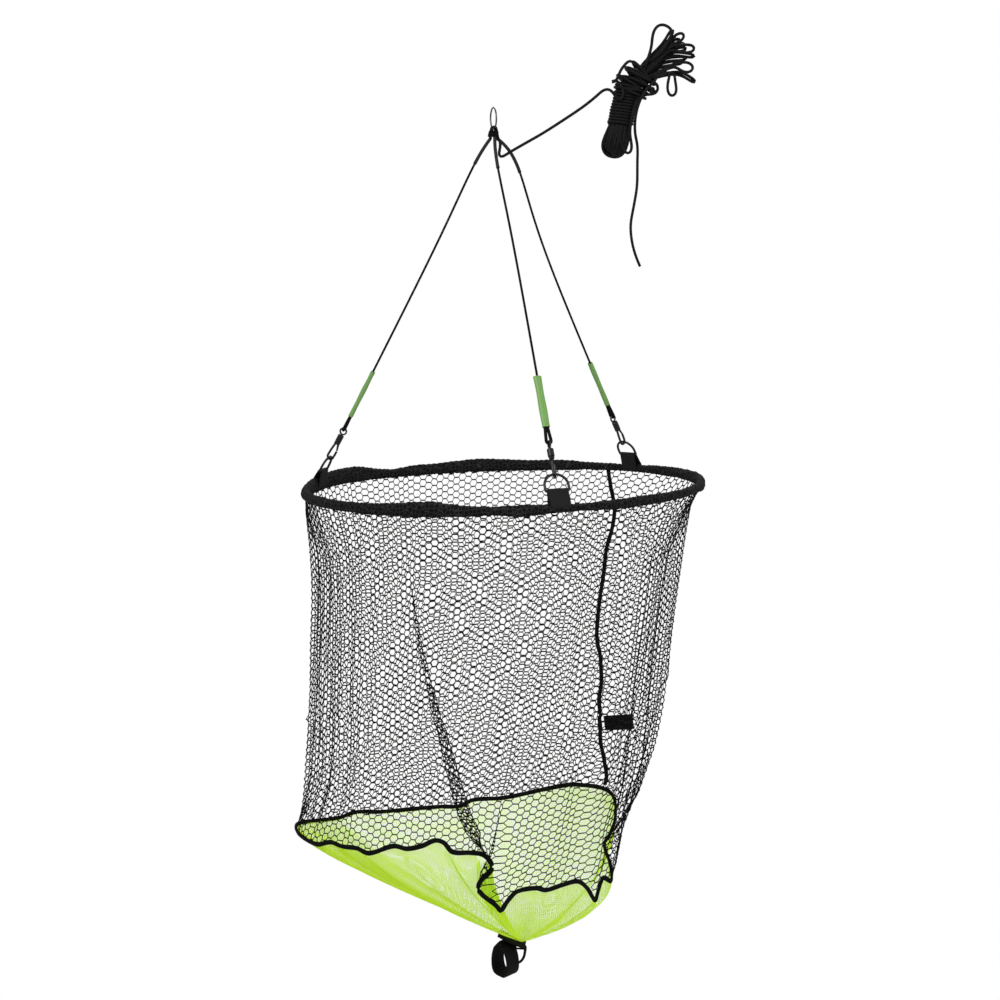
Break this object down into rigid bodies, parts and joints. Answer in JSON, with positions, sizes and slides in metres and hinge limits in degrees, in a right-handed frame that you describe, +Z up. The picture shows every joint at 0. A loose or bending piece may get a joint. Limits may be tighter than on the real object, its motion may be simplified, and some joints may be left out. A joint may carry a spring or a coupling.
{
  "type": "drop net",
  "caption": "Hoop net lowered on a rope: clipped legs under a hang ring, a tapered mesh bag with a coloured bottom, and a carry strap.",
  "frame": {"origin": "the hang point: inside the top of the hang ring's wire, where a hook carries the net", "axes": "+Z up, against the pull; -Y towards the camera of the picture; +X to the right in the picture"},
  "size_m": [0.6328, 0.6038, 1.4543],
  "materials": {
    "bright_steel": "polished",
    "clip_metal": "satin black plating",
    "hoop_rod": "painted",
    "black_cord": "braided cord",
    "rope": "braided rope",
    "grey_tube": "soft tube",
    "green_tube": "soft clear-green tube",
    "webbing": "woven webbing",
    "black_net": "knotless hexagonal mesh",
    "green_net": "fine mesh"
  },
  "bodies": {
    "hang_ring": {"hang_ring": "bright_steel"},
    "net": {"ring_loop_front": "black_cord", "ring_loop_right": "black_cord", "ring_loop_left": "black_cord", "lashing": "black_cord", "upper_sleeve_front": "grey_tube", "upper_sleeve_right": "grey_tube", "upper_sleeve_left": "grey_tube", "leg_cord_front": "black_cord", "leg_cord_right": "black_cord", "leg_cord_left": "black_cord", "green_sleeve_front": "green_tube", "green_sleeve_right": "green_tube", "green_sleeve_left": "green_tube", "d_tab_front": "webbing", "d_tab_right": "webbing", "d_tab_left": "webbing", "hoop_rod": "hoop_rod", "hoop_hem": "webbing", "upper_net": "black_net", "seam_binding": "webbing", "lower_net": "green_net", "side_seam": "webbing", "side_tab": "webbing", "strap_anchor": "webbing", "rope_lead": "rope", "rope_hank": "rope", "rope_tail": "rope"},
    "d_ring_front": {"d_ring_front": "clip_metal"},
    "clip_front": {"clip_body_front": "clip_metal", "gate_pin_front": "bright_steel"},
    "swivel_front": {"swivel_eye_front": "clip_metal", "cord_loop_front": "black_cord"},
    "gate_front": {"clip_gate_front": "clip_metal"},
    "d_ring_right": {"d_ring_right": "clip_metal"},
    "clip_right": {"clip_body_right": "clip_metal", "gate_pin_right": "bright_steel"},
    "swivel_right": {"swivel_eye_right": "clip_metal", "cord_loop_right": "black_cord"},
    "gate_right": {"clip_gate_right": "clip_metal"},
    "d_ring_left": {"d_ring_left": "clip_metal"},
    "clip_left": {"clip_body_left": "clip_metal", "gate_pin_left": "bright_steel"},
    "swivel_left": {"swivel_eye_left": "clip_metal", "cord_loop_left": "black_cord"},
    "gate_left": {"clip_gate_left": "clip_metal"},
    "strap": {"carry_strap": "webbing"},
    "cord_ring": {"cord_ring": "black_cord"}
  },
  "joints": [
    {"name": "net_swing", "type": "hinge", "parent": "hang_ring", "child": "net", "pos_m": [0, 0, -0.0299], "axis": [-0.2756, 0.9613, 0], "range_deg": [-25, 25]},
    {"name": "d_ring_tilt_front", "type": "hinge", "parent": "net", "child": "d_ring_front", "pos_m": [0.07389, -0.27577, -0.5342], "axis": [0.9659, 0.2588, 0], "range_deg": [-15, 15], "stiffness_Nm_per_rad": 0.6},
    {"name": "clip_tilt_front", "type": "hinge", "parent": "d_ring_front", "child": "clip_front", "pos_m": [0.07067, -0.26374, -0.51287], "axis": [0.9659, 0.2588, 0], "range_deg": [-23, 23]},
    {"name": "swivel_spin_front", "type": "hinge", "parent": "clip_front", "child": "swivel_front", "pos_m": [0.06478, -0.24178, -0.47392], "axis": [-0.1305, 0.487, 0.8636], "continuous": true},
    {"name": "gate_front", "type": "hinge", "parent": "clip_front", "child": "gate_front", "pos_m": [0.06792, -0.25348, -0.4907], "axis": [0.9659, 0.2588, 0], "range_deg": [0, 24], "stiffness_Nm_per_rad": 0.01, "springref_deg": -11.46},
    {"name": "d_ring_tilt_right", "type": "hinge", "parent": "net", "child": "d_ring_right", "pos_m": [0.20188, 0.20188, -0.5342], "axis": [-0.7071, 0.7071, 0], "range_deg": [-15, 15], "stiffness_Nm_per_rad": 0.6},
    {"name": "clip_tilt_right", "type": "hinge", "parent": "d_ring_right", "child": "clip_right", "pos_m": [0.19307, 0.19307, -0.51287], "axis": [-0.7071, 0.7071, 0], "range_deg": [-23, 23]},
    {"name": "swivel_spin_right", "type": "hinge", "parent": "clip_right", "child": "swivel_right", "pos_m": [0.177, 0.177, -0.47392], "axis": [-0.3565, -0.3565, 0.8636], "continuous": true},
    {"name": "gate_right", "type": "hinge", "parent": "clip_right", "child": "gate_right", "pos_m": [0.18556, 0.18556, -0.4907], "axis": [-0.7071, 0.7071, 0], "range_deg": [0, 24], "stiffness_Nm_per_rad": 0.01, "springref_deg": -11.46},
    {"name": "d_ring_tilt_left", "type": "hinge", "parent": "net", "child": "d_ring_left", "pos_m": [-0.27577, 0.07389, -0.5342], "axis": [-0.2588, -0.9659, 0], "range_deg": [-15, 15], "stiffness_Nm_per_rad": 0.6},
    {"name": "clip_tilt_left", "type": "hinge", "parent": "d_ring_left", "child": "clip_left", "pos_m": [-0.26374, 0.07067, -0.51287], "axis": [-0.2588, -0.9659, 0], "range_deg": [-23, 23]},
    {"name": "swivel_spin_left", "type": "hinge", "parent": "clip_left", "child": "swivel_left", "pos_m": [-0.24178, 0.06478, -0.47392], "axis": [0.487, -0.1305, 0.8636], "continuous": true},
    {"name": "gate_left", "type": "hinge", "parent": "clip_left", "child": "gate_left", "pos_m": [-0.25014, 0.06703, -0.49272], "axis": [0.2588, 0.9659, 0], "range_deg": [0, 24], "stiffness_Nm_per_rad": 0.01, "springref_deg": -11.46},
    {"name": "strap_swing", "type": "hinge", "parent": "net", "child": "strap", "pos_m": [-0.01759, -0.02311, -1.26496], "axis": [0.9272, -0.3746, 0], "range_deg": [-35, 20]},
    {"name": "cord_ring_swing", "type": "hinge", "parent": "net", "child": "cord_ring", "pos_m": [0.01023, -0.01565, -1.26485], "axis": [0.2588, -0.9659, 0], "range_deg": [-5, 35]}
  ],
  "couplings": [
    {"joint": "clip_tilt_front", "follows": "d_ring_tilt_front", "ratio": -1.493},
    {"joint": "clip_tilt_right", "follows": "d_ring_tilt_right", "ratio": -1.493},
    {"joint": "clip_tilt_left", "follows": "d_ring_tilt_left", "ratio": -1.493}
  ]
}
